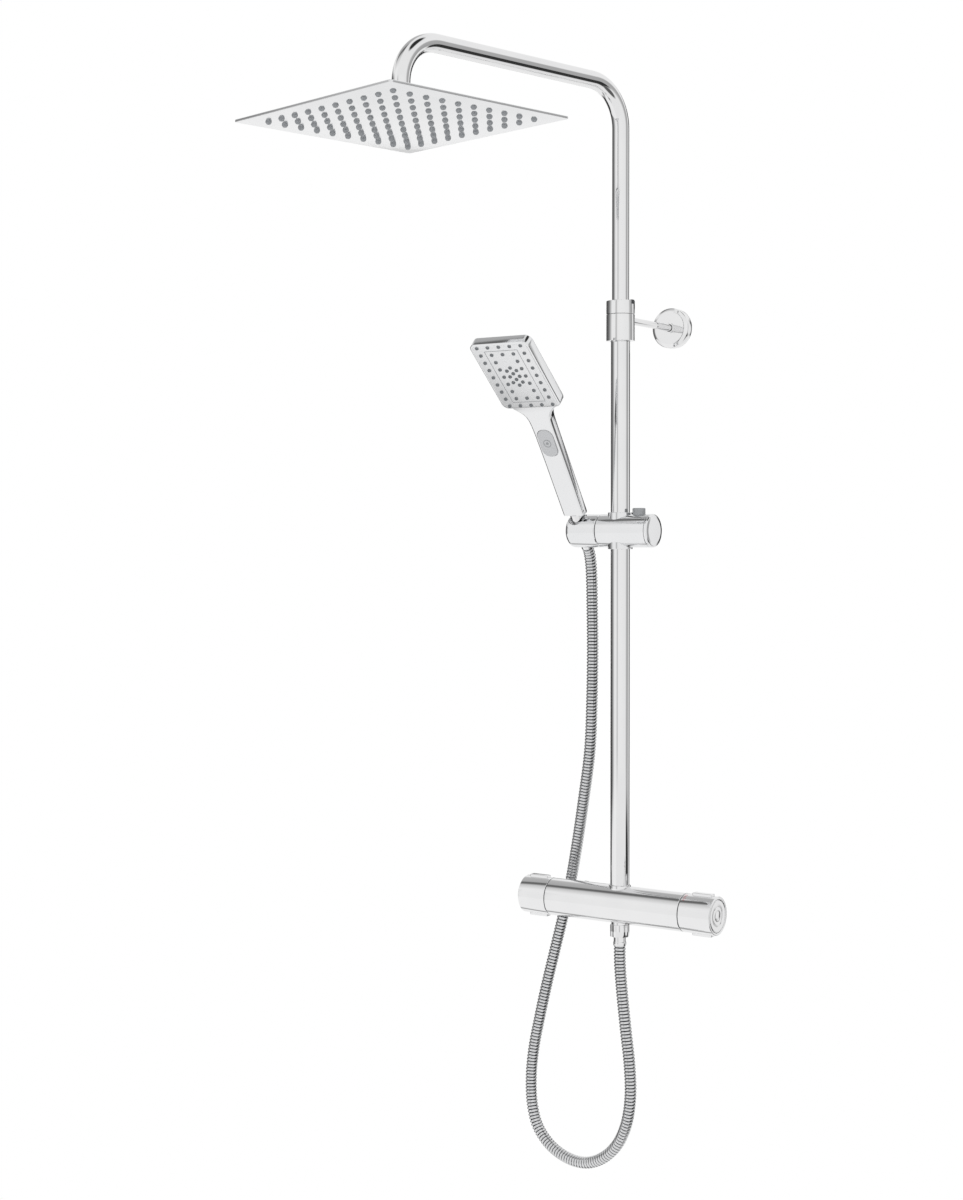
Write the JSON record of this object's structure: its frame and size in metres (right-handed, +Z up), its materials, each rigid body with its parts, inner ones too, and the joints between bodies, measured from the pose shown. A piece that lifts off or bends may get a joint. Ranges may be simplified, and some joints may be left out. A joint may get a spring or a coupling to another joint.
{
  "type": "rainfall shower column",
  "caption": "Wall-hung shower column: bar mixer, telescopic riser with bent arm and square rain head, sliding holder, handset and metal hose.",
  "frame": {"origin": "midway between the mixer's two wall inlets, on the plane of their nuts' back faces", "axes": "+X along the mixer from the flow handle to the temperature handle, +Y to the wall, +Z up the riser"},
  "size_m": [0.3474, 0.6179, 1.2941],
  "materials": {
    "chrome": "bright chrome plate on brass",
    "chromed_plastic": "chrome-plated moulded plastic",
    "polished_steel": "polished stainless steel",
    "hose_steel": "wound and chromed steel strip",
    "brass": "turned brass",
    "dark_plastic": "moulded, satin",
    "white_plastic": "moulded, satin",
    "silicone": "soft grey silicone",
    "rubber": "matt black rubber"
  },
  "bodies": {
    "mixer_and_riser": {"mixer_body": "chrome", "inlet_nut_left": "chrome", "inlet_filter_left": "polished_steel", "inlet_nut_right": "chrome", "inlet_filter_right": "polished_steel", "thermostat_cartridge": "brass", "wax_element": "brass", "flow_cartridge": "white_plastic", "outlet_nipple": "brass", "outlet_check_valve": "white_plastic", "hose_washer": "rubber", "outlet_nut": "chrome", "hose_ferrule_lower": "chrome", "riser_seal": "rubber", "riser_tube": "chrome", "guide_ring": "dark_plastic", "bracket_collar": "chrome", "bracket_rod": "chrome", "wall_plate": "polished_steel", "rod_screw": "polished_steel", "hose": "hose_steel"},
    "lock_collar": {"lock_ring": "chrome", "lock_tab": "dark_plastic"},
    "wall_cover": {"wall_flange": "chrome"},
    "temperature_control": {"temperature_handle": "chrome", "temperature_cap": "chrome", "thermostat_spindle": "brass"},
    "temperature_stop": {"stop_button": "chrome"},
    "flow_control": {"flow_handle": "chrome", "flow_cap": "chrome", "flow_spindle": "brass"},
    "arm_carrier": {"arm_plug": "white_plastic", "arm_seal": "rubber"},
    "arm": {"arm_tube": "chrome", "swivel_ball": "chrome"},
    "head_swivel_ring": {"ball_ring": "white_plastic"},
    "rain_head": {"head_nut": "chrome", "head_top_shell": "polished_steel", "head_nozzle_mat": "silicone", "head_face_plate": "polished_steel"},
    "slider": {"slider_body": "chrome", "slider_bush_upper": "dark_plastic", "slider_bush_lower": "dark_plastic", "slider_end_cap": "chrome", "clamp_shoe": "dark_plastic", "button_spring": "polished_steel", "friction_washer": "dark_plastic"},
    "slider_button": {"release_button": "chrome"},
    "holder": {"handset_holder": "chrome", "holder_pin": "polished_steel"},
    "hose_end": {"hose_cone_nut": "chrome", "hose_ferrule_upper": "chrome"},
    "handset": {"handset_shell": "chromed_plastic", "handset_face_plate": "chromed_plastic", "handset_nozzle_mat": "silicone", "spray_selector": "white_plastic", "handset_connector": "chrome"},
    "spray_button": {"mode_button": "chromed_plastic"}
  },
  "joints": [
    {"name": "wall_cover_slide", "type": "slide", "parent": "mixer_and_riser", "child": "wall_cover", "axis": [0, -1, 0], "range_m": [0, 0.05]},
    {"name": "temperature_turn", "type": "hinge", "parent": "mixer_and_riser", "child": "temperature_control", "pos_m": [0, -0.05, 0], "axis": [1, 0, 0], "range_deg": [-150, 90]},
    {"name": "temperature_stop_press", "type": "slide", "parent": "temperature_control", "child": "temperature_stop", "axis": [-1, 0, 0], "range_m": [0, 0.0025], "stiffness_N_per_m": 600, "springref_m": -0.002},
    {"name": "flow_turn", "type": "hinge", "parent": "mixer_and_riser", "child": "flow_control", "pos_m": [0, -0.05, 0], "axis": [1, 0, 0], "range_deg": [-90, 90]},
    {"name": "lock_turn", "type": "hinge", "parent": "mixer_and_riser", "child": "lock_collar", "pos_m": [0, -0.05, 0.7], "axis": [0, 0, 1], "range_deg": [0, 90]},
    {"name": "arm_height", "type": "slide", "parent": "mixer_and_riser", "child": "arm_carrier", "axis": [0, 0, 1], "range_m": [-0.15, 0.1]},
    {"name": "arm_swivel", "type": "hinge", "parent": "arm_carrier", "child": "arm", "pos_m": [0, -0.05, 0], "axis": [0, 0, 1], "range_deg": [-48, 72]},
    {"name": "head_tilt", "type": "hinge", "parent": "arm", "child": "head_swivel_ring", "pos_m": [-0.07173, -0.38746, 0.89], "axis": [0.9781, -0.2079, 0], "range_deg": [-10, 10]},
    {"name": "head_roll", "type": "hinge", "parent": "head_swivel_ring", "child": "rain_head", "pos_m": [-0.07173, -0.38746, 0.89], "axis": [0.2079, 0.9781, 0], "range_deg": [-10, 10]},
    {"name": "slider_height", "type": "slide", "parent": "mixer_and_riser", "child": "slider", "axis": [0, 0, 1], "range_m": [-0.3, 0.19], "deforming": ["hose"]},
    {"name": "release_press", "type": "slide", "parent": "slider", "child": "slider_button", "axis": [0, 0, -1], "range_m": [0, 0.003], "stiffness_N_per_m": 800, "springref_m": -0.002, "deforming": ["button_spring"]},
    {"name": "holder_tilt", "type": "hinge", "parent": "slider", "child": "holder", "pos_m": [-0.052, -0.05, 0.439], "axis": [1, 0, 0], "range_deg": [-25, 25]},
    {"name": "handset_lift", "type": "slide", "parent": "holder", "child": "hose_end", "axis": [0, -0.5592, 0.829], "range_m": [0, 0.025]},
    {"name": "handset_spin", "type": "hinge", "parent": "hose_end", "child": "handset", "pos_m": [-0.052, -0.05, 0.439], "axis": [0, -0.5592, 0.829], "range_deg": [-90, 90]},
    {"name": "spray_press", "type": "slide", "parent": "handset", "child": "spray_button", "axis": [0, 0.8192, 0.5736], "range_m": [0, 0.0015], "stiffness_N_per_m": 800, "springref_m": -0.001}
  ]
}
